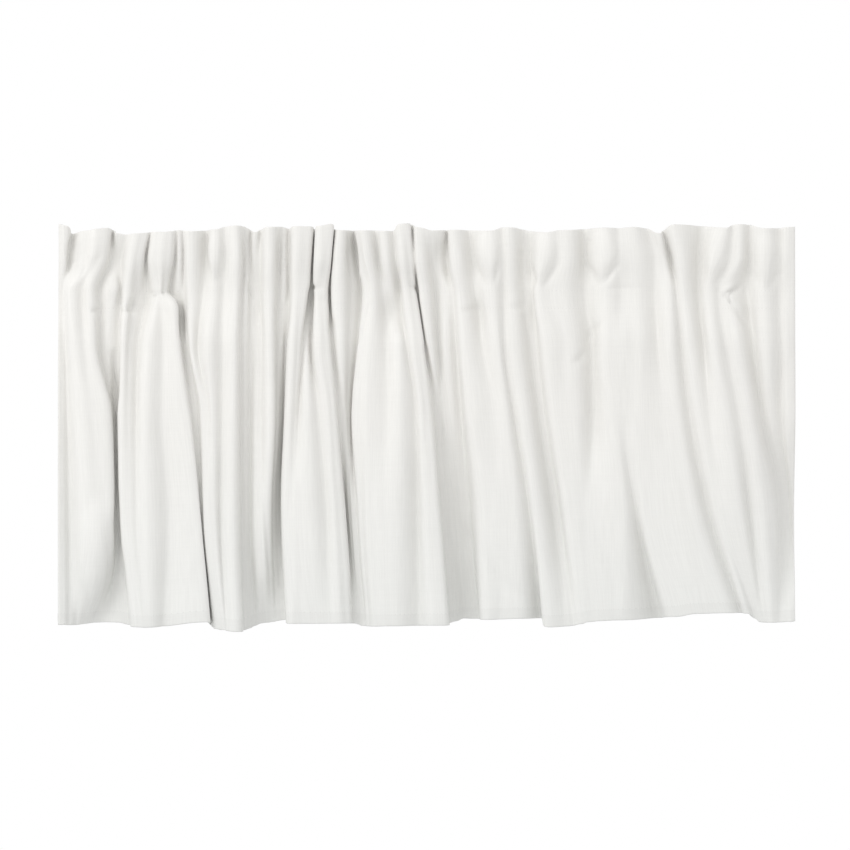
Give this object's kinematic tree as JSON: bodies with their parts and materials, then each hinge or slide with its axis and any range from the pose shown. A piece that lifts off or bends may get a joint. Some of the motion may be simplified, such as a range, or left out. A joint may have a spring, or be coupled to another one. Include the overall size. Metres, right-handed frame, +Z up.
{
  "type": "gathered valance",
  "caption": "Short gathered window valance: a hemmed off-white cloth panel that hangs in uneven vertical folds from its drawn-up heading.",
  "frame": {"origin": "middle of the top edge, halfway between the backs and the fronts of the folds", "axes": "+X to the right along the top edge seen from the front, +Y towards the window behind, +Z up; the front of the cloth faces -Y"},
  "size_m": [0.8413, 0.048, 0.4653],
  "materials": {
    "linen": "plain-woven linen and cotton cloth, matt, off-white, with fine slubs down the drop"
  },
  "bodies": {
    "root": {"valance_panel": "linen"}
  },
  "joints": []
}
